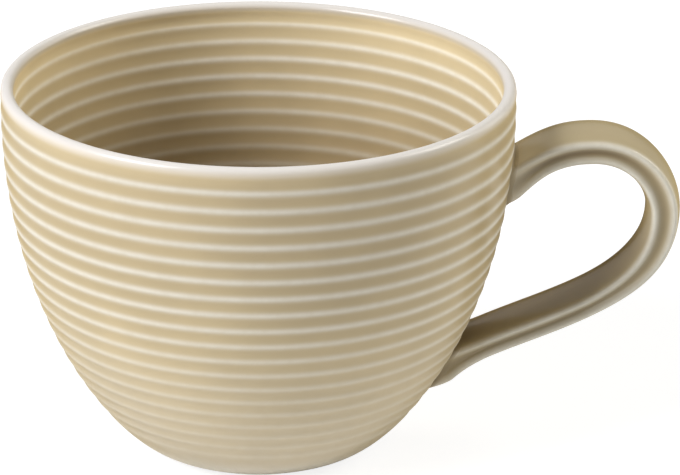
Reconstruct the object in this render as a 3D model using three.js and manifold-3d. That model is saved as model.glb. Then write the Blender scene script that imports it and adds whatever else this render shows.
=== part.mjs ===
// Ribbed stoneware coffee cup with a fluted strap handle.
// Millimetres, +Z up. The origin is at table level, under the middle of the cup's length,
// and the handle points to +X.
import * as THREE from "three";
import { mergeVertices } from "three/addons/utils/BufferGeometryUtils.js";
import Module from "manifold-3d";

// Bowl
const CUP_HEIGHT = 67.2;
const RIM_RADIUS = 45;
const RIM_THICKNESS = 2.2;
const BASE_WALL = 4;
const FLOOR_THICKNESS = 4.2;
const FLOOR_RADIUS = 13;

// The bowl's outline leaves the rim almost upright and turns under to the foot.
const SIDE_SWELL = 1.6;
const SIDE_LENGTH = 40;
const BELLY_WIDTH = 6.8;
const BELLY_RISE = 3;

// Foot ring
const FOOT_RADIUS = 18.9;
const FOOT_WIDTH = 3.2;
const FOOT_HEIGHT = 0.9;
const FOOT_STEP = 1.6;
const FOOT_EDGE = 0.4;
const FOOT_RECESS = 1.7;

// Turned ribs: narrow crests with wide hollow flutes between them, evenly spaced down the wall from the rim
const RIB_PITCH = 3.28;
const FIRST_CREST = 4.2;
const INNER_RIB_PITCH = 3.38;
const INNER_FIRST_CREST = 3.7;
const RIB_RELIEF = 0.2;
const LIP_DEPTH = 1.5;
const SMOOTH_BAND = 6.4;
const INNER_SMOOTH_BAND = 11;
const POINTS_PER_RIB = 3;
const BOWL_SEGMENTS = 40;

// Handle path, seen from the side: it rises from the upper joint, turns at the top and the bend, and falls
const HANDLE_REACH = 29.35;
const TOP_DROP = 11.2;
const TOP_REACH = 13.8;
const BEND_DROP = 23;
const UPPER_JOINT_DROP = 17.6;
const UPPER_JOINT_SLOPE = THREE.MathUtils.degToRad(40);
const UPPER_JOINT_LEAD = 4.5;
const TOP_LEAD = 7.7;
const TOP_ROUNDNESS = 0.64;
const BEND_ROUNDNESS = 0.43;
const LOWER_JOINT_DROP = 52.2;
const LOWER_JOINT_SLOPE = THREE.MathUtils.degToRad(35);
const LOWER_JOINT_LEAD = 15.1;
const BEND_LEAD = 17.8;

// Handle strap: crowned outer and inner faces, and one flute along each side.
// The lower arm has its own thickness from the given share of the way down.
const STRAP_WIDTH = 12.5;
const TOP_EDGE = 4.15;
const BEND_EDGE = 4.65;
const ARM_EDGE = 3.5;
const ARM_START = 0.45;
const OUTER_CROWN = 0.7;
const INNER_CROWN = 0.7;
const RIDGE_RADIUS = 0.7;
const FLUTE_DEPTH = 0.6;
const UPPER_ROOT_SWELL = 0.7;
const LOWER_ROOT_SWELL = 1.55;
const ROOT_LENGTH = 9;
const ROOT_INSET = 9;
const TONGUE_SQUASH = 0.2;
const STRAP_STATIONS = 44;

// Luting slip that bonds the handle to the wall, with a fillet that runs out over the handle
const SLIP_THICKNESS = 1;
const SLIP_EDGE = 0.3;
const FILLET_WIDTH = 0.9;
const FILLET_HEIGHT = 2.6;
const FILLET_REACH = 14;
const SLIP_STATIONS = 16;

// Clearance between neighbouring pieces
const SEAT_GAP = 0.3;

const wasm = await Module();
wasm.setup();

function toSolid(geometry) {
  const bare = geometry.clone();
  bare.deleteAttribute("normal");
  bare.deleteAttribute("uv");
  const weldDistance = 1e-4;
  const merged = mergeVertices(bare, weldDistance);
  const mesh = new wasm.Mesh({
    numProp: 3,
    vertProperties: new Float32Array(merged.attributes.position.array),
    triVerts: new Uint32Array(merged.index.array),
  });
  return new wasm.Manifold(mesh);
}

function toGeometry(solid) {
  const mesh = solid.getMesh();
  const geometry = new THREE.BufferGeometry();
  geometry.setAttribute("position", new THREE.BufferAttribute(new Float32Array(mesh.vertProperties), 3));
  geometry.setIndex(new THREE.BufferAttribute(new Uint32Array(mesh.triVerts), 1));
  geometry.computeVertexNormals();
  return geometry;
}

// Outline of the bowl as radius and height, through the crests of the outer ribs
const wallCurve = new THREE.CubicBezierCurve(
  new THREE.Vector2(RIM_RADIUS, CUP_HEIGHT),
  new THREE.Vector2(RIM_RADIUS + SIDE_SWELL, CUP_HEIGHT - SIDE_LENGTH),
  new THREE.Vector2(FOOT_RADIUS + FOOT_STEP + BELLY_WIDTH, FOOT_HEIGHT + BELLY_RISE),
  new THREE.Vector2(FOOT_RADIUS + FOOT_STEP, FOOT_HEIGHT),
);

const wallLength = wallCurve.getLength();

// The curve falls all the way, so halving finds the place at a given depth below the rim.
function wallPlace(drop) {
  const halvings = 40;
  let above = 0;
  let below = 1;
  for (let step = 0; step < halvings; step += 1) {
    const middle = (above + below) / 2;
    if (CUP_HEIGHT - wallCurve.getPoint(middle).y < drop) {
      above = middle;
    } else {
      below = middle;
    }
  }
  return (above + below) / 2;
}

// A point of the wall at a depth below the rim, moved out from the outline by an offset
function wallPoint(drop, offset) {
  const place = wallPlace(drop);
  const point = wallCurve.getPoint(place);
  const along = wallCurve.getTangent(place);
  return new THREE.Vector2(point.x - along.y * offset, point.y + along.x * offset);
}

function wallThickness(drop) {
  return THREE.MathUtils.lerp(RIM_THICKNESS, BASE_WALL, drop / CUP_HEIGHT);
}

// Depth of the hollow between two crests, where phase runs from 0 to 1
function fluteDepth(phase) {
  return RIB_RELIEF * Math.sin(Math.PI * phase);
}

// Depth below the rim at a distance from it along the wall
function dropAlong(distance) {
  return CUP_HEIGHT - wallCurve.getPointAt(distance / wallLength).y;
}

// Distances of the crests from the rim, from the first one down to a given depth
function crestDistances(first, pitch, deepest) {
  const crests = [first];
  let next = first + pitch;
  while (dropAlong(next) <= deepest) {
    crests.push(next);
    next += pitch;
  }
  return crests;
}

// Points from the lip down a ribbed wall, with a flute above each crest
function ribbedPoints(crests, surface) {
  const points = [];
  let start = LIP_DEPTH;
  for (const end of crests) {
    for (let step = 0; step < POINTS_PER_RIB; step += 1) {
      const phase = step / POINTS_PER_RIB;
      const drop = dropAlong(THREE.MathUtils.lerp(start, end, phase));
      points.push(surface(drop, fluteDepth(phase)));
    }
    start = end;
  }
  points.push(surface(dropAlong(start), 0));
  return points;
}

// Ribbed outside of the bowl from the lip to the foot, moved out by an offset
function outerPoints(offset) {
  const crests = crestDistances(FIRST_CREST, RIB_PITCH, CUP_HEIGHT - SMOOTH_BAND);
  const points = ribbedPoints(crests, (drop, hollow) => wallPoint(drop, offset - hollow));
  const bandSteps = 4;
  const crestDrop = dropAlong(crests[crests.length - 1]);
  const footDrop = CUP_HEIGHT - FOOT_HEIGHT;
  for (let step = 1; step <= bandSteps; step += 1) {
    points.push(wallPoint(THREE.MathUtils.lerp(crestDrop, footDrop, step / bandSteps), offset));
  }
  return points;
}

// The same outside without ribs
function smoothPoints(offset) {
  const steps = 24;
  const points = [];
  for (let step = 0; step <= steps; step += 1) {
    const drop = THREE.MathUtils.lerp(LIP_DEPTH, CUP_HEIGHT - FOOT_HEIGHT, step / steps);
    points.push(wallPoint(drop, offset));
  }
  return points;
}

// Half round top of the lip, from its inner to its outer edge
function lipPoints() {
  const radius = RIM_THICKNESS / 2;
  const steps = 6;
  const points = [];
  for (let step = 1; step < steps; step += 1) {
    const angle = Math.PI * (1 - step / steps);
    points.push(new THREE.Vector2(
      RIM_RADIUS - radius + radius * Math.cos(angle),
      CUP_HEIGHT - radius + radius * Math.sin(angle),
    ));
  }
  return points;
}

// Inside of the bowl from the lip to the axis
function innerPoints() {
  const floorHeight = FOOT_RECESS + FLOOR_THICKNESS;
  const deepest = CUP_HEIGHT - floorHeight - INNER_SMOOTH_BAND;
  const crests = crestDistances(INNER_FIRST_CREST, INNER_RIB_PITCH, deepest);
  const points = ribbedPoints(crests, (drop, hollow) => wallPoint(drop, hollow - wallThickness(drop)));
  const last = points[points.length - 1];
  const along = wallCurve.getTangentAt(crests[crests.length - 1] / wallLength);
  const floorSteps = 5;
  const floor = new THREE.QuadraticBezierCurve(
    last,
    new THREE.Vector2(last.x + along.x * (last.y - floorHeight) / -along.y, floorHeight),
    new THREE.Vector2(FLOOR_RADIUS, floorHeight),
  );
  points.push(...floor.getPoints(floorSteps).slice(1));
  points.push(new THREE.Vector2(0, floorHeight));
  return points;
}

// Foot ring and recessed underside, from the wall to the axis
function footPoints() {
  const inside = FOOT_RADIUS - FOOT_WIDTH;
  return [
    new THREE.Vector2(FOOT_RADIUS, FOOT_HEIGHT - FOOT_EDGE / 2),
    new THREE.Vector2(FOOT_RADIUS, FOOT_EDGE),
    new THREE.Vector2(FOOT_RADIUS - FOOT_EDGE, 0),
    new THREE.Vector2(inside + FOOT_EDGE, 0),
    new THREE.Vector2(inside, FOOT_EDGE),
    new THREE.Vector2(inside - FOOT_STEP, FOOT_RECESS),
    new THREE.Vector2(0, FOOT_RECESS),
  ];
}

function revolve(profile) {
  return new THREE.LatheGeometry(profile, BOWL_SEGMENTS).rotateX(Math.PI / 2);
}

function cupBodyGeometry() {
  const profile = [...footPoints().reverse(), ...outerPoints(0).reverse()];
  profile.push(...lipPoints().reverse(), ...innerPoints());
  return toGeometry(toSolid(revolve(profile)));
}

// Everything inside an outer skin of the bowl, to cut what meets the wall
function bowlCutter(skin) {
  const top = new THREE.Vector2(0, skin[0].y);
  const bottom = new THREE.Vector2(0, skin[skin.length - 1].y);
  return toSolid(revolve([bottom, ...skin.reverse(), top]));
}

function bezier(start, startLead, end, endLead) {
  return new THREE.CubicBezierCurve(start, start.clone().add(startLead), end.clone().add(endLead), end);
}

// Centre line of the strap as radius and height, from inside the wall at one joint to the other
function handlePath() {
  const upper = wallPoint(UPPER_JOINT_DROP, 0);
  const lower = wallPoint(LOWER_JOINT_DROP, 0);
  const top = new THREE.Vector2(RIM_RADIUS + TOP_REACH, CUP_HEIGHT - TOP_DROP);
  const bendRadius = RIM_RADIUS + HANDLE_REACH - BEND_EDGE / 2 - OUTER_CROWN;
  const bend = new THREE.Vector2(bendRadius, CUP_HEIGHT - BEND_DROP);
  const upperWay = new THREE.Vector2(Math.cos(UPPER_JOINT_SLOPE), Math.sin(UPPER_JOINT_SLOPE));
  const lowerWay = new THREE.Vector2(Math.cos(LOWER_JOINT_SLOPE), Math.sin(LOWER_JOINT_SLOPE));
  const across = new THREE.Vector2(1, 0);
  const up = new THREE.Vector2(0, 1);
  const turnAcross = across.clone().multiplyScalar((bend.x - top.x) * TOP_ROUNDNESS);
  const turnUp = up.clone().multiplyScalar((top.y - bend.y) * BEND_ROUNDNESS);
  const path = new THREE.CurvePath();
  path.add(new THREE.LineCurve(upper.clone().addScaledVector(upperWay, -ROOT_INSET), upper));
  path.add(bezier(
    upper,
    upperWay.clone().multiplyScalar(UPPER_JOINT_LEAD),
    top,
    across.clone().multiplyScalar(-TOP_LEAD),
  ));
  path.add(bezier(top, turnAcross, bend, turnUp));
  path.add(bezier(
    bend,
    up.clone().multiplyScalar(-BEND_LEAD),
    lower,
    lowerWay.clone().multiplyScalar(LOWER_JOINT_LEAD),
  ));
  path.add(new THREE.LineCurve(lower, lower.clone().addScaledVector(lowerWay, -ROOT_INSET)));
  return path;
}

const strapPath = handlePath();
const strapLength = strapPath.getLength();

// Shares of the length at which the inset, the rise, the turn and the fall end
const curveEnds = strapPath.getCurveLengths().map((length) => length / strapLength);

// Cross section of the strap: x runs over its width, y from its inner to its outer face.
// Each point comes with the way that it moves when the section grows.
function strapSection(edge) {
  const ridgeX = STRAP_WIDTH / 2 - RIDGE_RADIUS;
  const ridgeY = edge / 2 - RIDGE_RADIUS;
  const crownSteps = 6;
  const ridgeSteps = 2;
  const fluteSteps = 4;
  const outline = [];
  const add = (side, x, y, angle) => {
    const way = new THREE.Vector2(Math.cos(angle), Math.sin(angle)).multiplyScalar(side);
    const point = new THREE.Vector2(x, y).multiplyScalar(side).addScaledVector(way, RIDGE_RADIUS);
    outline.push({ point, way });
  };
  for (const [side, crown] of [[1, OUTER_CROWN], [-1, INNER_CROWN]]) {
    const lean = Math.atan(2 * crown / ridgeX);
    for (let step = 1; step < crownSteps; step += 1) {
      const across = 1 - 2 * step / crownSteps;
      add(side, across * ridgeX, ridgeY + crown * (1 - across * across), Math.PI / 2);
    }
    for (let step = 0; step <= ridgeSteps; step += 1) {
      const turn = THREE.MathUtils.lerp(lean, Math.PI / 2, step / ridgeSteps);
      add(side, -ridgeX, ridgeY, Math.PI / 2 + turn);
    }
    for (let step = 1; step < fluteSteps; step += 1) {
      const down = 1 - 2 * step / fluteSteps;
      add(side, -ridgeX + FLUTE_DEPTH * (1 - down * down), ridgeY * down, Math.PI);
    }
    for (let step = 0; step <= ridgeSteps; step += 1) {
      const turn = THREE.MathUtils.lerp(0, Math.PI / 2 - lean, step / ridgeSteps);
      add(side, -ridgeX, -ridgeY, Math.PI + turn);
    }
  }
  return outline;
}

// Closed skin through cross sections of equal point counts, with flat ends
function loft(sections, endOutline) {
  const count = endOutline.length;
  const positions = sections.flatMap((points) => points.flatMap((point) => point.toArray()));
  const indices = [];
  for (let row = 0; row + 1 < sections.length; row += 1) {
    for (let column = 0; column < count; column += 1) {
      const next = (column + 1) % count;
      const a = row * count + column;
      const b = row * count + next;
      indices.push(a, b, a + count, b, b + count, a + count);
    }
  }
  const lastRow = (sections.length - 1) * count;
  for (const [a, b, c] of THREE.ShapeUtils.triangulateShape(endOutline, [])) {
    indices.push(a, c, b, lastRow + a, lastRow + b, lastRow + c);
  }
  const geometry = new THREE.BufferGeometry();
  geometry.setAttribute("position", new THREE.Float32BufferAttribute(positions, 3));
  geometry.setIndex(indices);
  return geometry;
}

// Distance from the nearer joint along the path, below nothing inside the wall
function distanceFromJoint(place) {
  return strapLength * Math.min(place, 1 - place) - ROOT_INSET;
}

// Thickness of the strap's edge, which is most at the bend, least on the lower arm and swells at both roots
function edgeThickness(place) {
  const [, topPlace, bendPlace, lowerPlace] = curveEnds;
  const armPlace = THREE.MathUtils.lerp(bendPlace, lowerPlace, ARM_START);
  const intoBend = THREE.MathUtils.smoothstep(place, topPlace, bendPlace);
  const intoArm = THREE.MathUtils.smoothstep(place, bendPlace, armPlace);
  const upperEdge = THREE.MathUtils.lerp(TOP_EDGE, BEND_EDGE, intoBend);
  const root = THREE.MathUtils.clamp(1 - distanceFromJoint(place) / ROOT_LENGTH, 0, 1);
  const swell = place < bendPlace ? UPPER_ROOT_SWELL : LOWER_ROOT_SWELL;
  return THREE.MathUtils.lerp(upperEdge, ARM_EDGE, intoArm) + swell * root * root;
}

// Inside the wall the strap thins to a tongue, so that its toe runs into the curve of the bowl.
function rootSquash(place) {
  const inside = THREE.MathUtils.clamp(-distanceFromJoint(place) / ROOT_INSET, 0, 1);
  return THREE.MathUtils.lerp(1, TONGUE_SQUASH, inside);
}

// Strap between two places of the path, grown by what the given function says for each point
function strapSolid(startPlace, endPlace, stations, growth) {
  const sections = [];
  for (let station = 0; station <= stations; station += 1) {
    const place = THREE.MathUtils.lerp(startPlace, endPlace, station / stations);
    const centre = strapPath.getPoint(place);
    const along = strapPath.getTangent(place);
    const squash = rootSquash(place);
    const onStrap = (x, y) => new THREE.Vector3(centre.x - along.y * y, x, centre.y + along.x * y);
    sections.push(strapSection(edgeThickness(place)).map(({ point, way }) => {
      const grow = growth(onStrap(point.x, point.y * squash));
      return onStrap(point.x + way.x * grow, point.y * squash + way.y * grow);
    }));
  }
  const endOutline = strapSection(BEND_EDGE).map(({ point }) => point);
  return toSolid(loft(sections, endOutline));
}

function handleGeometry() {
  const strap = strapSolid(0, 1, STRAP_STATIONS, () => 0);
  const end = smoothPoints(SEAT_GAP + SLIP_THICKNESS + SEAT_GAP);
  return toGeometry(strap.subtract(bowlCutter(end)));
}

// How far a point stands off the bowl's outline, measured square to the wall
function wallClearance(point) {
  const place = wallPlace(CUP_HEIGHT - point.z);
  return (wallCurve.getPoint(place).x - Math.hypot(point.x, point.y)) * wallCurve.getTangent(place).y;
}

// Growth of the slip round the handle: a hollow fillet, widest at the wall
function filletGrowth(point) {
  const near = THREE.MathUtils.clamp(1 - wallClearance(point) / FILLET_HEIGHT, 0, 1);
  return SEAT_GAP + SLIP_EDGE + FILLET_WIDTH * near * near;
}

// A pad between the wall and the handle's end, with a fillet that holds the handle all round
function slipGeometry(startPlace, endPlace) {
  const pad = bowlCutter(smoothPoints(SEAT_GAP + SLIP_THICKNESS));
  const socket = strapSolid(0, 1, STRAP_STATIONS, () => SEAT_GAP).subtract(pad);
  const fillet = strapSolid(startPlace, endPlace, SLIP_STATIONS, filletGrowth);
  const collar = fillet.intersect(bowlCutter(smoothPoints(FILLET_HEIGHT)));
  return toGeometry(collar.subtract(socket).subtract(bowlCutter(outerPoints(SEAT_GAP))));
}

const rootSpan = (ROOT_INSET + FILLET_REACH) / strapLength;

const bowlGlaze = new THREE.MeshStandardMaterial({ color: 0xc8b792, roughness: 0.25, metalness: 0 });
const handleGlaze = new THREE.MeshStandardMaterial({ color: 0xa59577, roughness: 0.25, metalness: 0 });
const pooledGlaze = new THREE.MeshStandardMaterial({ color: 0x7c6a4a, roughness: 0.25, metalness: 0 });

function addPiece(group, name, geometry, material) {
  const mesh = new THREE.Mesh(geometry, material);
  mesh.name = name;
  group.add(mesh);
}

const cup = new THREE.Group();
addPiece(cup, "cup_body", cupBodyGeometry(), bowlGlaze);
addPiece(cup, "handle", handleGeometry(), handleGlaze);
addPiece(cup, "upper_slip_joint", slipGeometry(0, rootSpan), pooledGlaze);
addPiece(cup, "lower_slip_joint", slipGeometry(1 - rootSpan, 1), pooledGlaze);

const reach = new THREE.Box3().setFromObject(cup);
for (const piece of cup.children) {
  piece.geometry.translate(-(reach.min.x + reach.max.x) / 2, 0, 0);
}

export default cup;
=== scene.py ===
# Glazed look of the ribbed coffee cup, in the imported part's frame.
# Shapes are worked out in millimetres about the bowl's axis, and become metres when a mesh is made.
import math

import bpy
import numpy as np
from mathutils import Matrix, Vector


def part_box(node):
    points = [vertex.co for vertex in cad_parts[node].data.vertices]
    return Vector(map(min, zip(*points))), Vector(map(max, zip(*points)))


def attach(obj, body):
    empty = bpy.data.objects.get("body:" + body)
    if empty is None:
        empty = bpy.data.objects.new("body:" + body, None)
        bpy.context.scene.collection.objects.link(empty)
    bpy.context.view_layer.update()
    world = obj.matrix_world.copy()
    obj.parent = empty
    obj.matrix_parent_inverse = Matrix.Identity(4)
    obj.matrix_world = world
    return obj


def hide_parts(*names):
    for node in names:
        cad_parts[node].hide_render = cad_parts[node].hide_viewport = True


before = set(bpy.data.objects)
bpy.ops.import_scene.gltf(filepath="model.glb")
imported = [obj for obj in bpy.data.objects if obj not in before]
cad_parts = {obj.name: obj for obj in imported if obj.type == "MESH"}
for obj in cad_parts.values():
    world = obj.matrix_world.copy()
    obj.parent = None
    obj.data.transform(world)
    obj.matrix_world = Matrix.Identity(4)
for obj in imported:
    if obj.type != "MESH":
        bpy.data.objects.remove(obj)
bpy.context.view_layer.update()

MM = 0.001
bowl_low, bowl_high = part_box("cup_body")
AXIS_X = (bowl_low[0] + bowl_high[0]) / 2

# Bowl
CUP_HEIGHT = 67.2
RIM_RADIUS = 45.0
RIM_THICKNESS = 2.2
BASE_WALL = 4.0
FLOOR_THICKNESS = 4.2
FLOOR_RADIUS = 13.0
SIDE_SWELL = 1.6
SIDE_LENGTH = 40.0
BELLY_WIDTH = 6.8
BELLY_RISE = 3.0
BOWL_SEGMENTS = 224
FLOOR_RINGS = 7
FLOOR_CURVE_STEPS = 21
LIP_STEPS = 18
PLAIN_WALL_STEPS = 19

# Foot ring
FOOT_RADIUS = 18.9
FOOT_WIDTH = 3.2
FOOT_HEIGHT = 0.9
FOOT_STEP = 1.6
FOOT_EDGE = 0.4
FOOT_RECESS = 1.7
FOOT_EDGE_STEPS = 5
UNDERSIDE_RINGS = 7
FLOOR_HEIGHT = FOOT_RECESS + FLOOR_THICKNESS

# Shoulder over the foot ring: how far out from the ring, how far under its top, and how bare
FOOT_SHOULDER = ((0.5, 0.12, 0.2), (0.1, 0.25, 0.8))

# Side of the recess: shares of the step in and of the recess's depth, and how bare
RECESS_SIDE = ((0.3, 0.5, 0.7), (1.0, 1.0, 0.1))

# The wall's outline leaves the rim almost upright and turns under to the foot.
WALL = (
    (RIM_RADIUS, CUP_HEIGHT),
    (RIM_RADIUS + SIDE_SWELL, CUP_HEIGHT - SIDE_LENGTH),
    (FOOT_RADIUS + FOOT_STEP + BELLY_WIDTH, FOOT_HEIGHT + BELLY_RISE),
    (FOOT_RADIUS + FOOT_STEP, FOOT_HEIGHT),
)
WALL_SAMPLES = 4000

# Ribs, placed along the wall from the rim. The outer ones are set in by a hair, inside the part's box.
RIB_PITCH = 3.28
FIRST_CREST = 4.3
OUTER_RIBS = 19
INNER_RIB_PITCH = 3.4
INNER_FIRST_CREST = 3.95
INNER_RIBS = 15
RIB_RELIEF = 0.12
HOLLOW_POWER = 1.3
LIP_DEPTH = 1.5
WALL_INSET = 0.005
POINTS_PER_RIB = 12

# How far the cream of a crest spreads, as a share of the pitch
CREST_SPREAD = 0.13
INNER_CREST_SPREAD = 0.115

# Fades of the bowl's glaze: an amount, and the depths below the rim where it starts and is full
OUTER_LIP_END = (1.0, 0.0, 2.3)
INNER_LIP_END = (1.0, 0.0, 1.8)
GLOW_END = (1.0, 2.0, 14.0)
# Inside, darker towards the floor: partly pooled glaze, partly painted shade below the rim
DEEP_POOL_AND_SHADE = (0.78, 10.0, 30.0)
DEEP_CREST_FADE = (0.3, 8.0, 30.0)
LOW_CREST_FADE = (0.75, 18.0, 60.0)
UNDER_RIM_POOL = (0.28, 0.5, 4.0)
LOW_POOL_LOSS = (0.2, 12.0, 40.0)
# Towards the foot the wall is paler: partly thinner glaze, partly painted light bounced off the floor
LOW_THINNING_AND_FLOOR_LIGHT = (0.34, 30.0, 64.0)
FOOT_THINNING_AND_FLOOR_LIGHT = (0.7, 61.0, 66.3)

# Painted light under the rim, standing in for light through the thin wall: how far it brightens the glaze
# inside and fades the crests
PAINTED_RIM_GLOW = 0.62
GLOW_CREST_FADE = 0.4

# Handle path, seen from the side: it rises from the upper joint, turns at the top and the bend, and falls.
TOP_REACH = 13.8
TOP_DROP = 11.2
BEND_REACH = 26.325
BEND_DROP = 23.0
UPPER_JOINT_DROP = 17.6
UPPER_JOINT_SLOPE = math.radians(40)
UPPER_JOINT_LEAD = 4.5
TOP_LEAD = 7.7
TOP_ROUNDNESS = 0.64
BEND_ROUNDNESS = 0.43
BEND_LEAD = 17.8
LOWER_JOINT_DROP = 52.2
LOWER_JOINT_SLOPE = math.radians(35)
LOWER_JOINT_LEAD = 15.1
PATH_SAMPLES = 799
WAY_STEP = 0.05

# Handle strap: crowned outer and inner faces, and one flute along each side. Below the bend, the lower
# arm has its own thickness from a share of the way down to the joint.
STRAP_WIDTH = 12.5
TOP_EDGE = 4.15
BEND_EDGE = 4.65
ARM_EDGE = 3.5
ARM_START = 0.45
OUTER_CROWN = 0.68
INNER_CROWN = 0.7
RIDGE_RADIUS = 0.7
FLUTE_DEPTH = 0.6
UPPER_FLUTE_END = 1.5
UPPER_FLUTE_FADE = 2.5
UPPER_ROOT_SWELL = 0.7
LOWER_ROOT_SWELL = 1.55
ROOT_LENGTH = 9.0
ROOT_INSET = 9.0
TONGUE_SQUASH = 0.2
SUNK_IN_WALL = 1.0
STRAP_STATIONS = 240
FACE_STEPS = 20
RIDGE_STEPS = 6
FLUTE_STEPS = 14

# Glaze on the strap: how far the cream of a ridge spreads, how thin the glaze breaks there, and how much
# light is painted by the upper joint, against the wall's shade
RIDGE_SPREAD = 0.62
RIDGE_THIN = 0.85
ROOT_RIDGE_FADE = 0.4
PAINTED_UPPER_ROOT_LIGHT = 0.3

# Glaze on the strap: how far it pools in the flutes and on the upper arm, and how dark the inner face is,
# partly pooled glaze and partly painted shade. The turn's share is how far down the lower arm that darkening
# behind the bend comes to its full amount.
FLUTE_POOL = 0.4
UPPER_FLUTE_POOL = 0.4
UPPER_POOL = 0.15
INNER_TURN_POOL_AND_SHADE = 0.3
INNER_ARM_POOL_AND_SHADE = 0.1
INNER_ROOT_POOL_AND_SHADE = 0.45
TURN_SHARE = 0.3

# Painted light on the strap by the wall, against the wall's shade: it is paler on the upper arm, less so on
# its edges, and by the lower joint. The distances are from the wall.
PAINTED_WALL_LIGHT = 0.7
PAINTED_WALL_LIGHT_START = 2.0
PAINTED_WALL_LIGHT_END = 14.0
EDGE_KEPT = 0.7
PAINTED_LOWER_ROOT_LIGHT = 0.15
ROOT_NEAR = 8.0

# Glaze on the fillets: how far it pools under the strap and over it, by how far the skin's way out points
# down or up. It changes at shares of the way from the strap to the wall.
UPPER_POOLED = (0.5, 0.4)
LOWER_POOLED = (0.2, 0.75)
UNDER_WAY = -0.7
OVER_WAY = 0.5
POOLED_FROM = 0.6
CLEARING_FROM = 0.7
CLEARED_SHARE = 0.7

# Fillet of slip round each end of the handle
FILLET_ON_WALL = 0.7
FILLET_ON_STRAP = 1.4
FILLET_UNDER_STRAP_SKIN = 0.04
FILLET_UNDER_WALL_SKIN = 0.36
FILLET_ROOT_IN_WALL = 0.6
FILLET_ROOT_IN_STRAP = 0.4
FILLET_STEPS = 10
FILLET_STATIONS = 600
FILLET_SEARCH = 30.0

# Colours of the glaze and the clay
SAND = (0.575, 0.457, 0.265, 1)
CREAM = (0.82, 0.762, 0.635, 1)
HANDLE_SAND = (0.46, 0.37, 0.21, 1)
HANDLE_CREAM = (0.80, 0.76, 0.65, 1)
# Tint towards which the glaze darkens where it pools and where shade is painted
POOL_AND_SHADE_TINT = (0.40, 0.35, 0.28, 1)
LIP_WHITE = (0.73, 0.685, 0.63, 1)
CLAY = (0.50, 0.42, 0.32, 1)

# Texture of the glaze: scales of the noise, tones of its clouds and flecks, and how far its edges wander
CLOUD_SCALE = 55
FLECK_SCALE = 420
GRAIN_SCALE = 1500
CLOUD_TONES = (0.95, 1.05)
FLECK_TONE = 0.7
FLECK_SHARE = 0.12
EDGE_WANDER = (0.9, 1.1)

# Finish of the glaze and of the bare clay. The bump's distance is in metres.
GLOSS = 0.36
GLAZE_ROUGHNESS = (0.2, 0.25)
CLAY_ROUGHNESS = 0.85
CLAY_GRAIN = 3.0
BUMP_STRENGTH = 0.06
BUMP_DISTANCE = 0.0002

# Stage: its sizes are in metres.
WHITE = (1, 1, 1, 1)
PAPER = (0.85, 0.85, 0.85, 1)
SHADOW_PAPER = (0.3, 0.3, 0.3, 1)
PAPER_GLOW = 0.84
STAGE_HALF = 4.0
STAGE_DROP = 0.0002
AMBIENT = 0.12

# Lamp panels: a name, a place in metres, watts and a colour. They are square and face the cup.
PANEL_SIZE = 0.6
PANEL_AIM_HEIGHT = 0.035
COOL_LIGHT = (0.98, 1.0, 1.05)
WARM_LIGHT = (1.0, 0.985, 0.92)
PANELS = (
    ("key", (-0.853, -0.4925, 0.77), 16.8, COOL_LIGHT),
    ("side", (0.97, 0.17, 0.77), 8.0, WARM_LIGHT),
    ("back", (1.059, 0.611, 0.26), 2.8, WARM_LIGHT),
)

# Camera: places in metres from the bowl's axis, and the lens and sensor in millimetres
CAMERA_PLACE = (0.011745, -0.679888, 0.303869)
CAMERA_AIM = (0.014365, 0.0, 0.037702)
CAMERA_ROLL = math.radians(-0.372)
CAMERA_LENS = 218.06
SENSOR_WIDTH = 36
CLIP_START = 0.01


def smoothstep(value, low, high):
    share = np.clip((np.asarray(value, float) - low) / (high - low), 0, 1)
    return share * share * (3 - 2 * share)


def fade(amounts, drop):
    """Amount of a fade at a depth below the rim."""
    amount, start, full = amounts
    return amount * float(smoothstep(drop, start, full))


def cubic(points, t):
    a, b, c, d = (np.array(point, float) for point in points)
    t = np.asarray(t, float)[..., None]
    s = 1 - t
    return s ** 3 * a + 3 * s * s * t * b + 3 * s * t * t * c + t ** 3 * d


def cubic_way(points, t):
    a, b, c, d = (np.array(point, float) for point in points)
    t = np.asarray(t, float)[..., None]
    s = 1 - t
    way = s * s * (b - a) + 2 * s * t * (c - b) + t * t * (d - c)
    return way / np.linalg.norm(way, axis=-1, keepdims=True)


def path_lengths(points):
    """Distance of each point from the first, along the line of points."""
    return np.concatenate([[0], np.cumsum(np.linalg.norm(np.diff(points, axis=0), axis=1))])


WALL_TABLE = np.linspace(0, 1, WALL_SAMPLES + 1)
WALL_POINTS = cubic(WALL, WALL_TABLE)
WALL_DROPS = CUP_HEIGHT - WALL_POINTS[:, 1]
WALL_LENGTHS = path_lengths(WALL_POINTS)


def drop_along(distance):
    """Depth below the rim at a distance along the outer wall."""
    return float(np.interp(distance, WALL_LENGTHS, WALL_DROPS))


def wall_point(drop, offset=0.0):
    """Radius and height of the outer wall at a depth below the rim, moved out by an offset."""
    place = np.interp(drop, WALL_DROPS, WALL_TABLE)
    point = cubic(WALL, place)
    way = cubic_way(WALL, place)
    out = np.stack([-way[..., 1], way[..., 0]], axis=-1)
    return point + out * np.asarray(offset, float)[..., None]


def wall_clearance(points):
    """How far points stand off the outer wall."""
    place = np.interp(CUP_HEIGHT - points[..., 2], WALL_DROPS, WALL_TABLE)
    radius = np.hypot(points[..., 0], points[..., 1])
    return (cubic(WALL, place)[..., 0] - radius) * cubic_way(WALL, place)[..., 1]


def wall_normal(points):
    """Ways straight out of the outer wall, beside points."""
    way = cubic_way(WALL, np.interp(CUP_HEIGHT - points[..., 2], WALL_DROPS, WALL_TABLE))
    radius = np.hypot(points[..., 0], points[..., 1])
    along_x = -way[..., 1] * points[..., 0] / radius
    along_y = -way[..., 1] * points[..., 1] / radius
    return np.stack([along_x, along_y, way[..., 0]], axis=-1)


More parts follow.
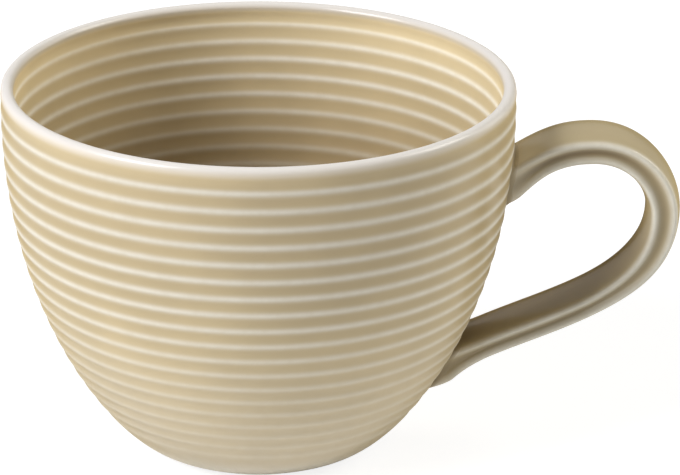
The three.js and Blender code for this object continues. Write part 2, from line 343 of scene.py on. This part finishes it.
def grid_faces(rows, columns, close_rows=False):
    """Quads over a grid that is closed along its columns."""
    last = rows if close_rows else rows - 1
    row, column = np.meshgrid(np.arange(last), np.arange(columns), indexing="ij")
    below = (row + 1) % rows
    beside = (column + 1) % columns
    quads = np.stack([row * columns + column, row * columns + beside,
                      below * columns + beside, below * columns + column], axis=-1)
    return quads.reshape(-1, 4).tolist()


def make_piece(name, points, faces, node, slot, material, **values):
    """Smooth mesh from millimetre points, with a number for each vertex under each given name."""
    mesh = bpy.data.meshes.new(name)
    place = np.asarray(points, float) * MM + np.array([AXIS_X, 0, 0])
    mesh.from_pydata(place.tolist(), [], faces)
    mesh.polygons.foreach_set("use_smooth", [True] * len(mesh.polygons))
    for key, numbers in values.items():
        layer = mesh.attributes.new(key, "FLOAT", "POINT")
        layer.data.foreach_set("value", np.asarray(numbers, np.float32).ravel())
    mesh.materials.append(material)
    mesh.update()
    piece = bpy.data.objects.new(name, mesh)
    bpy.context.scene.collection.objects.link(piece)
    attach(piece, "root")
    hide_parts(node)


def add_node(tree, kind, inputs=None, **settings):
    node = tree.nodes.new("ShaderNode" + kind)
    for key, value in settings.items():
        setattr(node, key, value)
    for key, value in (inputs or {}).items():
        if isinstance(value, bpy.types.NodeSocket):
            tree.links.new(value, node.inputs[key])
        else:
            node.inputs[key].default_value = value
    return node


def math_node(tree, operation, a, b, clamp=False):
    node = add_node(tree, "Math", {0: a, 1: b}, operation=operation, use_clamp=clamp)
    return node.outputs[0]


def mix_colour(tree, share, a, b, **settings):
    node = add_node(tree, "Mix", {0: share, 6: a, 7: b}, data_type="RGBA", **settings)
    return node.outputs[2]


def soft_range(tree, value, low, high, to_low=0.0, to_high=1.0):
    inputs = {0: value, 1: low, 2: high, 3: to_low, 4: to_high}
    return add_node(tree, "MapRange", inputs, interpolation_type="SMOOTHSTEP").outputs[0]


def noise(tree, where, scale, detail, roughness=0.5):
    inputs = {"Vector": where, "Scale": scale, "Detail": detail, "Roughness": roughness}
    return add_node(tree, "TexNoise", inputs).outputs["Fac"]


def value_of(tree, name):
    return add_node(tree, "Attribute", attribute_name=name).outputs["Fac"]


def toned(colour, factor):
    return [min(channel * factor, 1) for channel in colour[:3]] + [1]


def glaze(name, thick, thin):
    """Glossy translucent glaze: cream where it breaks thin on an edge, darkened where it pools and where
    shade is painted, and lightened where light is painted.
    """
    material = bpy.data.materials.new(name)
    material.use_nodes = True
    tree = material.node_tree
    shader = tree.nodes["Principled BSDF"]
    where = add_node(tree, "TexCoord").outputs["Object"]
    clouds = noise(tree, where, CLOUD_SCALE, detail=3)
    flecks = noise(tree, where, FLECK_SCALE, detail=4, roughness=0.6)
    grain = noise(tree, where, GRAIN_SCALE, detail=2)
    bare = value_of(tree, "bare")

    # The glaze is faintly clouded and flecked, and breaks along a slightly uneven edge.
    clouded = soft_range(tree, clouds, 0.3, 0.7)
    flecked = soft_range(tree, flecks, 0.6, 0.8, 0.0, FLECK_SHARE)
    wander = soft_range(tree, flecks, 0.25, 0.75, *EDGE_WANDER)
    broken = math_node(tree, "MULTIPLY", value_of(tree, "thin"), wander, clamp=True)
    body = mix_colour(tree, clouded, *[toned(thick, tone) for tone in CLOUD_TONES])
    body = mix_colour(tree, flecked, body, toned(thick, FLECK_TONE))
    colour = mix_colour(tree, broken, body, thin)
    # This value carries pooled glaze and painted shade, and painted light where it is below zero
    pool_and_light_tint = mix_colour(tree, value_of(tree, "pool"), WHITE, POOL_AND_SHADE_TINT, clamp_factor=False)
    colour = mix_colour(tree, 1.0, colour, pool_and_light_tint, blend_type="MULTIPLY", clamp_result=True)
    colour = mix_colour(tree, value_of(tree, "lip"), colour, LIP_WHITE)
    colour = mix_colour(tree, bare, colour, CLAY)
    tree.links.new(colour, shader.inputs["Base Color"])

    # The gloss falls off towards the edges, so that the white surroundings don't wash them out.
    facing = add_node(tree, "LayerWeight", {"Blend": 0.5}).outputs["Facing"]
    gloss = soft_range(tree, facing, 0.2, 0.8, GLOSS, 0.0)
    tree.links.new(gloss, shader.inputs["Specular IOR Level"])
    glazed_rough = soft_range(tree, clouds, 0.3, 0.7, *GLAZE_ROUGHNESS)
    rough = add_node(tree, "Mix", {0: bare, 2: glazed_rough, 3: CLAY_ROUGHNESS}, data_type="FLOAT")
    tree.links.new(rough.outputs[0], shader.inputs["Roughness"])

    # Bare clay is grainy.
    grain_share = math_node(tree, "MULTIPLY", bare, CLAY_GRAIN)
    height = math_node(tree, "ADD", flecks, math_node(tree, "MULTIPLY", grain, grain_share))
    bump = add_node(tree, "Bump", {"Strength": BUMP_STRENGTH, "Distance": BUMP_DISTANCE, "Height": height})
    tree.links.new(bump.outputs[0], shader.inputs["Normal"])
    return material


def profile_row(point, thin=0.0, pool=0.0, lip=0.0, bare=0.0):
    return (point[0], point[1], thin, pool, lip, bare)


def crest_share(distance, spread):
    """How far the cream of a crest shows at a distance from it."""
    return math.exp(-0.5 * (distance / spread) ** 2)


def ribbed_rows(first, pitch, ribs, spread, surface, glazed):
    """Profile of a ribbed wall from the lip down. The lip's own edge has no crest."""
    crests = np.concatenate([[LIP_DEPTH], first + pitch * np.arange(ribs)])
    rows = []
    for turn in np.arange(ribs * POINTS_PER_RIB + 1) / POINTS_PER_RIB:
        drop = drop_along(np.interp(turn, np.arange(ribs + 1), crests))
        phase = turn % 1
        hollow = RIB_RELIEF * math.sin(math.pi * phase) ** HOLLOW_POWER
        from_crest = min(phase, 1 - phase) if turn >= 0.5 else 1.0
        crest = crest_share(from_crest, spread)
        rows.append(profile_row(surface(drop, hollow), *glazed(drop, crest)))
    return rows


def inner_surface(drop, hollow):
    thickness = RIM_THICKNESS + (BASE_WALL - RIM_THICKNESS) * drop / CUP_HEIGHT
    return wall_point(drop, hollow - thickness)


def outer_surface(drop, hollow):
    return wall_point(drop, -hollow - WALL_INSET)


def inner_glaze(drop, crest):
    """Thin, pooled and lip values: painted light brightens the glaze under the rim, and it darkens towards
    the floor, partly pooled glaze and partly painted shade.
    """
    lip = 1 - fade(INNER_LIP_END, drop)
    # Painted light under the rim, fading with depth; it lightens the glaze and fades the crests there
    glow = (1 - lip) * (1 - fade(GLOW_END, drop))
    thin = crest * (1 - GLOW_CREST_FADE * glow) * (1 - fade(DEEP_CREST_FADE, drop))
    # Deep inside, the glaze darkens: partly pooled glaze, partly painted shade
    pool = fade(DEEP_POOL_AND_SHADE, drop) - PAINTED_RIM_GLOW * glow
    return thin, pool, lip


def outer_glaze(drop, crest):
    """Thin, pooled and lip values: towards the foot the ribs show less and the glaze is paler, partly
    thinner glaze and partly painted light from the floor.
    """
    lip = 1 - fade(OUTER_LIP_END, drop)
    shown = crest * (1 - fade(LOW_CREST_FADE, drop))
    # Paler towards the foot: partly thinner glaze, partly painted light from the floor
    foot = fade(LOW_THINNING_AND_FLOOR_LIGHT, drop) + fade(FOOT_THINNING_AND_FLOOR_LIGHT, drop)
    pool = fade(UNDER_RIM_POOL, drop) - fade(LOW_POOL_LOSS, drop)
    return shown + foot * (1 - shown), pool, lip


def floor_rows():
    """Profile from the floor's middle to the lowest inner rib."""
    last_drop = drop_along(INNER_FIRST_CREST + INNER_RIB_PITCH * (INNER_RIBS - 1))
    end = inner_surface(last_drop, 0)
    way = cubic_way(WALL, np.interp(last_drop, WALL_DROPS, WALL_TABLE))
    corner = np.array([end[0] + way[0] * (end[1] - FLOOR_HEIGHT) / -way[1], FLOOR_HEIGHT])
    flat = np.array([FLOOR_RADIUS, FLOOR_HEIGHT])
    points = [(radius, FLOOR_HEIGHT) for radius in np.linspace(0, FLOOR_RADIUS, FLOOR_RINGS, endpoint=False)]
    for t in np.linspace(0, 1, FLOOR_CURVE_STEPS, endpoint=False):
        points.append((1 - t) ** 2 * flat + 2 * t * (1 - t) * corner + t * t * end)
    # The floor takes the full deep darkening: partly pooled glaze, partly painted shade
    return [profile_row(point, pool=DEEP_POOL_AND_SHADE[0]) for point in points]


def lip_rows():
    radius = RIM_THICKNESS / 2
    rows = []
    for angle in np.linspace(math.pi, 0, LIP_STEPS + 1)[1:-1]:
        out = RIM_RADIUS - radius + radius * math.cos(angle)
        drop = radius - radius * math.sin(angle)
        lip_end = OUTER_LIP_END if angle < math.pi / 2 else INNER_LIP_END
        rows.append(profile_row((out, CUP_HEIGHT - drop), lip=1 - fade(lip_end, drop)))
    return rows


def plain_wall_rows():
    """Profile of the outer wall from the lowest rib to the foot."""
    last_drop = drop_along(FIRST_CREST + RIB_PITCH * (OUTER_RIBS - 1))
    rows = []
    for drop in np.linspace(last_drop, CUP_HEIGHT - FOOT_HEIGHT, PLAIN_WALL_STEPS + 1)[1:]:
        crest = crest_share(drop - last_drop, CREST_SPREAD * RIB_PITCH)
        rows.append(profile_row(wall_point(drop), *outer_glaze(drop, crest)))
    return rows


def foot_rows():
    """Profile of the bare foot ring and the recessed underside, from outside to the middle."""
    inside = FOOT_RADIUS - FOOT_WIDTH
    rows = []
    for aside, under, bare in FOOT_SHOULDER:
        rows.append(profile_row((FOOT_RADIUS + aside, FOOT_HEIGHT - under), bare=bare))
    angles = np.linspace(0, math.pi / 2, FOOT_EDGE_STEPS + 1)
    edge = [(FOOT_EDGE * (1 - math.cos(angle)), FOOT_EDGE * (1 - math.sin(angle))) for angle in angles]
    rows += [profile_row((FOOT_RADIUS - aside, height), bare=1) for aside, height in edge]
    rows += [profile_row((inside + aside, height), bare=1) for aside, height in edge[::-1]]
    for aside, up, bare in RECESS_SIDE:
        rows.append(profile_row((inside - FOOT_STEP * aside, FOOT_RECESS * up), bare=bare))
    for radius in np.linspace(inside - FOOT_STEP, 0, UNDERSIDE_RINGS + 1)[1:]:
        rows.append(profile_row((radius, FOOT_RECESS)))
    return rows


def bowl_profile():
    """Rows from the floor's middle over the rim to the underside's middle, with glaze values."""
    inner = ribbed_rows(INNER_FIRST_CREST, INNER_RIB_PITCH, INNER_RIBS, INNER_CREST_SPREAD,
                        inner_surface, inner_glaze)
    outer = ribbed_rows(FIRST_CREST, RIB_PITCH, OUTER_RIBS, CREST_SPREAD, outer_surface, outer_glaze)
    rows = floor_rows() + inner[::-1] + lip_rows() + outer + plain_wall_rows() + foot_rows()
    return np.array(rows, float)


def make_bowl(material):
    """Bowl turned from its profile, with a fan of faces at the middle of the floor and the underside."""
    profile = bowl_profile()
    angles = np.linspace(0, 2 * math.pi, BOWL_SEGMENTS, endpoint=False)
    middle = profile[1:-1]
    ring = np.stack([
        middle[:, None, 0] * np.cos(angles),
        middle[:, None, 0] * np.sin(angles),
        np.repeat(middle[:, None, 1], BOWL_SEGMENTS, axis=1),
    ], axis=-1).reshape(-1, 3)
    count = len(middle)
    floor = len(ring)
    under = floor + 1
    points = np.vstack([ring, [0, 0, profile[0, 1]], [0, 0, profile[-1, 1]]])
    faces = grid_faces(count, BOWL_SEGMENTS)
    last = (count - 1) * BOWL_SEGMENTS
    for column in range(BOWL_SEGMENTS):
        beside = (column + 1) % BOWL_SEGMENTS
        faces.append((floor, beside, column))
        faces.append((under, last + column, last + beside))
    faces = [face[::-1] for face in faces]
    values = {}
    for index, key in enumerate(("thin", "pool", "lip", "bare"), start=2):
        around = np.repeat(middle[:, index], BOWL_SEGMENTS)
        values[key] = np.concatenate([around, [profile[0, index]], [profile[-1, index]]])
    make_piece("bowl", points, faces, "cup_body", "sand_glaze", material, **values)


def handle_path():
    """Strap's centre line, distances along it, and their shares at the top, the bend and the lower joint."""
    upper = wall_point(UPPER_JOINT_DROP)
    lower = wall_point(LOWER_JOINT_DROP)
    top = np.array([RIM_RADIUS + TOP_REACH, CUP_HEIGHT - TOP_DROP])
    bend = np.array([RIM_RADIUS + BEND_REACH, CUP_HEIGHT - BEND_DROP])
    upper_way = np.array([math.cos(UPPER_JOINT_SLOPE), math.sin(UPPER_JOINT_SLOPE)])
    lower_way = np.array([math.cos(LOWER_JOINT_SLOPE), math.sin(LOWER_JOINT_SLOPE)])
    turn_start = top + ((bend[0] - top[0]) * TOP_ROUNDNESS, 0)
    turn_end = bend + (0, (top[1] - bend[1]) * BEND_ROUNDNESS)
    t = np.linspace(0, 1, PATH_SAMPLES + 1)
    upper_line = upper - upper_way * ROOT_INSET * (1 - t)[:, None]
    rise = cubic((upper, upper + UPPER_JOINT_LEAD * upper_way, top - (TOP_LEAD, 0), top), t)
    turn = cubic((top, turn_start, turn_end, bend), t)
    fall = cubic((bend, bend - (0, BEND_LEAD), lower + LOWER_JOINT_LEAD * lower_way, lower), t)
    lower_line = lower - lower_way * ROOT_INSET * t[:, None]
    line = np.vstack([upper_line, rise[1:], turn[1:], fall[1:], lower_line[1:]])
    lengths = path_lengths(line)
    ends = lengths[np.arange(2, 5) * PATH_SAMPLES]
    return line, lengths, ends / lengths[-1]


PATH, PATH_LENGTHS, (TOP_SHARE, BEND_SHARE, LOWER_SHARE) = handle_path()
STRAP_LENGTH = PATH_LENGTHS[-1]


def path_point(distance):
    radius = np.interp(distance, PATH_LENGTHS, PATH[:, 0])
    height = np.interp(distance, PATH_LENGTHS, PATH[:, 1])
    return np.stack([radius, height], axis=-1)


def path_at(places):
    """Centre points and ways at shares of the strap's length."""
    along = np.asarray(places, float) * STRAP_LENGTH
    ahead = path_point(np.minimum(along + WAY_STEP, STRAP_LENGTH))
    behind = path_point(np.maximum(along - WAY_STEP, 0))
    way = ahead - behind
    return path_point(along), way / np.linalg.norm(way, axis=-1, keepdims=True)


def strap_section(edge, flute_depth):
    """Points, outward ways, and how far each lies on a ridge, in a flute and on the inner face."""
    ridge_x = STRAP_WIDTH / 2 - RIDGE_RADIUS
    ridge_y = edge / 2 - RIDGE_RADIUS
    rows = []
    ridges = []

    def add(side, x, y, angle, flute=0.0, inner=0.0):
        way = side * np.array([math.cos(angle), math.sin(angle)])
        point = side * np.array([x, y]) + way * RIDGE_RADIUS
        rows.append((*point, *way, flute, inner))

    # A ridge's crest is taken one step from the flute.
    for side, crown in ((1, OUTER_CROWN), (-1, INNER_CROWN)):
        lean = math.atan(2 * crown / ridge_x)
        for step in range(1, FACE_STEPS):
            across = math.cos(math.pi * step / FACE_STEPS)
            tilt = math.atan(2 * crown * across / ridge_x)
            inner = 1 - across ** 4 if side < 0 else 0.0
            height = ridge_y + crown * (1 - across * across)
            add(side, across * ridge_x, height, math.pi / 2 - tilt, inner=inner)
        for step in range(RIDGE_STEPS + 1):
            turn = lean + (math.pi / 2 - lean) * step / RIDGE_STEPS
            add(side, -ridge_x, ridge_y, math.pi / 2 + turn)
        ridges.append(len(rows) - 2)
        for step in range(1, FLUTE_STEPS):
            down = 1 - 2 * step / FLUTE_STEPS
            deep = 1 - down * down
            bow = math.atan(2 * flute_depth * down / ridge_y)
            add(side, -ridge_x + flute_depth * deep, ridge_y * down, math.pi + bow, flute=deep)
        for step in range(RIDGE_STEPS + 1):
            turn = (math.pi / 2 - lean) * step / RIDGE_STEPS
            add(side, -ridge_x, -ridge_y, math.pi + turn)
        ridges.append(len(rows) - RIDGE_STEPS)
    section = np.array(rows, float)
    along = path_lengths(np.vstack([section[:, :2], section[:1, :2]]))
    apart = np.abs(along[:-1, None] - along[ridges])
    from_ridge = np.minimum(apart, along[-1] - apart).min(axis=1)
    ridge = np.exp(-0.5 * (from_ridge / RIDGE_SPREAD) ** 2)
    return np.column_stack([section[:, :4], ridge, section[:, 4:]])


def strap_rows(places):
    """Strap skin at shares of its length: points, outward ways, and ridge, flute and inner face values."""
    places = np.asarray(places, float)
    upper_half = places < 0.5
    centres, ways = path_at(places)
    from_joint = STRAP_LENGTH * np.minimum(places, 1 - places) - ROOT_INSET
    root = np.clip(1 - from_joint / ROOT_LENGTH, 0, 1)

    # The strap's thickness changes along its length, and its ends are squashed to tongues.
    arm = BEND_SHARE + ARM_START * (LOWER_SHARE - BEND_SHARE)
    edges = TOP_EDGE + (BEND_EDGE - TOP_EDGE) * smoothstep(places, TOP_SHARE, BEND_SHARE)
    edges += (ARM_EDGE - BEND_EDGE) * smoothstep(places, BEND_SHARE, arm)
    edges += np.where(upper_half, UPPER_ROOT_SWELL, LOWER_ROOT_SWELL) * root * root
    squashes = 1 + (TONGUE_SQUASH - 1) * smoothstep(-from_joint / ROOT_INSET, 0, 1)

    # At the upper joint the flutes run out and the outer face flattens.
    fluted = smoothstep(from_joint, UPPER_FLUTE_END - UPPER_FLUTE_FADE, UPPER_FLUTE_END + UPPER_FLUTE_FADE)
    depths = FLUTE_DEPTH * np.where(upper_half, fluted, 1)
    flats = np.where(upper_half, root * root, 0)

    points = []
    outs = []
    values = []
    for centre, way, edge, squash, depth, flat in zip(centres, ways, edges, squashes, depths, flats):
        section = strap_section(edge, depth)
        beside = np.clip(section[:, 0] / (STRAP_WIDTH / 2 - RIDGE_RADIUS), -1, 1)
        lift = flat * OUTER_CROWN * beside * beside * np.clip(section[:, 1] / (edge / 2), 0, 1)
        y = (section[:, 1] + lift) * squash
        points.append(np.stack([centre[0] - way[1] * y, section[:, 0], centre[1] + way[0] * y], axis=-1))
        outs.append(np.stack([-way[1] * section[:, 3], section[:, 2], way[0] * section[:, 3]], axis=-1))
        values.append(section[:, 4:])
    return np.array(points), np.array(outs), np.array(values)


def strap_glaze(places, clear, values):
    """How thin the glaze breaks on the ridges, how it pools in the flutes, the pooled glaze and painted
    shade on the inner face, and the painted light by the wall.
    """
    ridge, flute, inner = np.moveaxis(values, -1, 0)
    upper = 1 - smoothstep(places, TOP_SHARE, BEND_SHARE)[:, None]
    lower = smoothstep(places, BEND_SHARE, LOWER_SHARE)[:, None]
    turn_start = (TOP_SHARE + BEND_SHARE) / 2
    turn_end = BEND_SHARE + TURN_SHARE * (LOWER_SHARE - BEND_SHARE)
    turned = smoothstep(places, turn_start, turn_end)[:, None]
    near = 1 - smoothstep(clear, 0, ROOT_NEAR)
    paler = upper * (1 - smoothstep(clear, PAINTED_WALL_LIGHT_START, PAINTED_WALL_LIGHT_END))
    edge = np.maximum(flute, ridge)
    in_flute = FLUTE_POOL + UPPER_FLUTE_POOL * upper * (1 - near)
    # The inner face is darker: partly pooled glaze, partly painted shade from the bowl and the bend
    inner_pool_and_shade = INNER_TURN_POOL_AND_SHADE * turned + INNER_ARM_POOL_AND_SHADE * lower + INNER_ROOT_POOL_AND_SHADE * lower * near
    pool = in_flute * flute + inner_pool_and_shade * inner + UPPER_POOL * upper
    # Painted light by the wall, against the wall's shade: lighter glaze on the upper arm and by the lower
    # joint, and cream by the upper joint
    pool -= PAINTED_WALL_LIGHT * paler * (1 - EDGE_KEPT * edge) + PAINTED_LOWER_ROOT_LIGHT * lower * near
    thin = np.maximum(RIDGE_THIN * ridge * (1 - ROOT_RIDGE_FADE * near), PAINTED_UPPER_ROOT_LIGHT * upper * near)
    return thin, pool


def make_handle(material):
    """Strap from end to end. Its ends stop inside the wall."""
    places = np.linspace(0, 1, STRAP_STATIONS + 1)
    points, _, values = strap_rows(places)
    clear = wall_clearance(points)
    thin, pool = strap_glaze(places, clear, values)
    sunk = np.minimum(clear + SUNK_IN_WALL, 0)
    points -= wall_normal(points) * sunk[..., None]
    rows, columns = thin.shape
    faces = grid_faces(rows, columns)
    faces.append(list(range(columns))[::-1])
    faces.append(list(range((rows - 1) * columns, rows * columns)))
    make_piece("handle_strap", points.reshape(-1, 3), faces, "handle", "handle_glaze", material,
               thin=thin, pool=pool, bare=np.zeros(rows * columns))


def make_fillet(name, node, end, pooled_shares, material):
    """Slip run into the corner between the strap and the wall, at the strap's start (0) or end (1)."""
    search = FILLET_SEARCH / STRAP_LENGTH
    places = np.linspace(abs(end - search), end, FILLET_STATIONS)
    points, outs, values = strap_rows(places)
    clear = wall_clearance(points)
    thins, pools = strap_glaze(places, clear, values)
    columns = clear.shape[1]
    index = np.arange(columns)

    def reached(level, rows):
        """Rows at the place where the strap's skin comes as near the wall as the level."""
        after = np.argmax(clear < level, axis=0)
        before = after - 1
        share = (clear[before, index] - level) / (clear[before, index] - clear[after, index])
        share = share.reshape(-1, *[1] * (rows.ndim - 2))
        return rows[before, index] + (rows[after, index] - rows[before, index]) * share

    # The fillet runs from the strap over the corner to the wall, with its edges just under both skins.
    corner = reached(0.0, points)
    out = reached(0.0, outs)
    on_strap = reached(FILLET_ON_STRAP, points) - FILLET_UNDER_STRAP_SKIN * reached(FILLET_ON_STRAP, outs)
    # The strap's values bring its painted light by the wall into the fillet
    strap_thin = reached(FILLET_ON_STRAP, thins)
    strap_pool = reached(FILLET_ON_STRAP, pools)
    normal = wall_normal(corner)
    aside = out - normal * np.sum(out * normal, axis=1, keepdims=True)
    aside /= np.linalg.norm(aside, axis=1, keepdims=True)
    on_wall = corner + FILLET_ON_WALL * aside
    on_wall = on_wall - (wall_clearance(on_wall) + FILLET_UNDER_WALL_SKIN)[:, None] * normal

    # Its glaze runs from the strap's to the pooled one, and clears again at the wall.
    under, over = pooled_shares
    pooled = under + (over - under) * smoothstep(out[:, 2], UNDER_WAY, OVER_WAY)
    rows = []
    thin = []
    pool = []
    for t in np.linspace(0, 1, FILLET_STEPS + 1):
        run = smoothstep(t, 0, POOLED_FROM)
        kept = 1 - CLEARED_SHARE * smoothstep(t, CLEARING_FROM, 1)
        rows.append((1 - t) ** 2 * on_strap + 2 * t * (1 - t) * corner + t * t * on_wall)
        thin.append(strap_thin * (1 - run))
        pool.append(strap_pool * (1 - run) + pooled * run * kept)
    rows.append(corner - FILLET_ROOT_IN_WALL * normal - FILLET_ROOT_IN_STRAP * out)
    thin.append(np.zeros(columns))
    pool.append(np.zeros(columns))
    count = len(rows)
    faces = grid_faces(count, columns, close_rows=True)
    make_piece(name, np.array(rows).reshape(-1, 3), faces, node, "pooled_glaze", material,
               thin=np.array(thin), pool=np.array(pool), bare=np.zeros(count * columns))


def seen_directly(tree):
    """1 for the rays that show the background: those of the camera, of gloss and through glass."""
    path = add_node(tree, "LightPath")
    both = math_node(tree, "MAXIMUM", path.outputs["Is Camera Ray"], path.outputs["Is Glossy Ray"])
    return math_node(tree, "MAXIMUM", both, path.outputs["Is Transmission Ray"])


def make_floor():
    """Pale floor, white to the camera, that keeps the shadow."""
    mesh = bpy.data.meshes.new("floor")
    sides = ((-STAGE_HALF, -STAGE_HALF), (STAGE_HALF, -STAGE_HALF),
             (STAGE_HALF, STAGE_HALF), (-STAGE_HALF, STAGE_HALF))
    mesh.from_pydata([(x, y, -STAGE_DROP) for x, y in sides], [], [(0, 1, 2, 3)])
    material = bpy.data.materials.new("floor_paper")
    material.use_nodes = True
    tree = material.node_tree
    tree.nodes.remove(tree.nodes["Principled BSDF"])
    paper = add_node(tree, "BsdfDiffuse", {"Color": PAPER})
    shadow = add_node(tree, "BsdfDiffuse", {"Color": SHADOW_PAPER})
    white = add_node(tree, "Emission", {"Color": WHITE, "Strength": PAPER_GLOW})
    shown = add_node(tree, "AddShader", {0: shadow.outputs[0], 1: white.outputs[0]})
    both = add_node(tree, "MixShader", {0: seen_directly(tree), 1: paper.outputs[0], 2: shown.outputs[0]})
    tree.links.new(both.outputs[0], tree.nodes["Material Output"].inputs["Surface"])
    mesh.materials.append(material)
    floor = bpy.data.objects.new("floor", mesh)
    bpy.context.scene.collection.objects.link(floor)


def make_world():
    """Dim light from all round, with a white background."""
    world = bpy.data.worlds.new("studio")
    bpy.context.scene.world = world
    world.use_nodes = True
    tree = world.node_tree
    strength = math_node(tree, "MAXIMUM", seen_directly(tree), AMBIENT)
    background = tree.nodes["Background"]
    background.inputs["Color"].default_value = WHITE
    tree.links.new(strength, background.inputs["Strength"])


def make_panel(name, place, power, colour):
    """Soft studio panel that faces the cup."""
    lamp = bpy.data.lights.new(name, "AREA")
    lamp.shape = "RECTANGLE"
    lamp.size = PANEL_SIZE
    lamp.size_y = PANEL_SIZE
    lamp.energy = power
    lamp.color = colour
    panel = bpy.data.objects.new(name, lamp)
    panel.location = place
    aim = Vector((AXIS_X, 0, PANEL_AIM_HEIGHT)) - Vector(place)
    panel.rotation_euler = aim.to_track_quat("-Z", "Y").to_euler()
    bpy.context.scene.collection.objects.link(panel)


def make_camera():
    """Camera of the photograph, turned about its view by a small roll."""
    lens = bpy.data.cameras.new("photo_camera")
    lens.sensor_width = SENSOR_WIDTH
    lens.lens = CAMERA_LENS
    lens.clip_start = CLIP_START
    axis = Vector((AXIS_X, 0, 0))
    place = axis + Vector(CAMERA_PLACE)
    look = (axis + Vector(CAMERA_AIM) - place).normalized()
    right = look.cross(Vector((0, 0, 1))).normalized()
    down = look.cross(right)
    x = math.cos(CAMERA_ROLL) * right + math.sin(CAMERA_ROLL) * down
    y = math.sin(CAMERA_ROLL) * right - math.cos(CAMERA_ROLL) * down
    turn = Matrix((x, y, -look)).transposed()
    camera = bpy.data.objects.new("photo_camera", lens)
    camera.matrix_world = Matrix.Translation(place) @ turn.to_4x4()
    bpy.context.scene.collection.objects.link(camera)
    bpy.context.scene.camera = camera


bowl_glaze = glaze("sand_glaze", SAND, CREAM)
handle_glaze = glaze("handle_glaze", HANDLE_SAND, HANDLE_CREAM)
pooled_glaze = glaze("pooled_glaze", HANDLE_SAND, HANDLE_CREAM)

make_bowl(bowl_glaze)
make_handle(handle_glaze)
make_fillet("upper_fillet", "upper_slip_joint", 0, UPPER_POOLED, pooled_glaze)
make_fillet("lower_fillet", "lower_slip_joint", 1, LOWER_POOLED, pooled_glaze)

make_floor()
make_world()
for panel in PANELS:
    make_panel(*panel)
make_camera()
bpy.context.scene.view_settings.view_transform = "Standard"
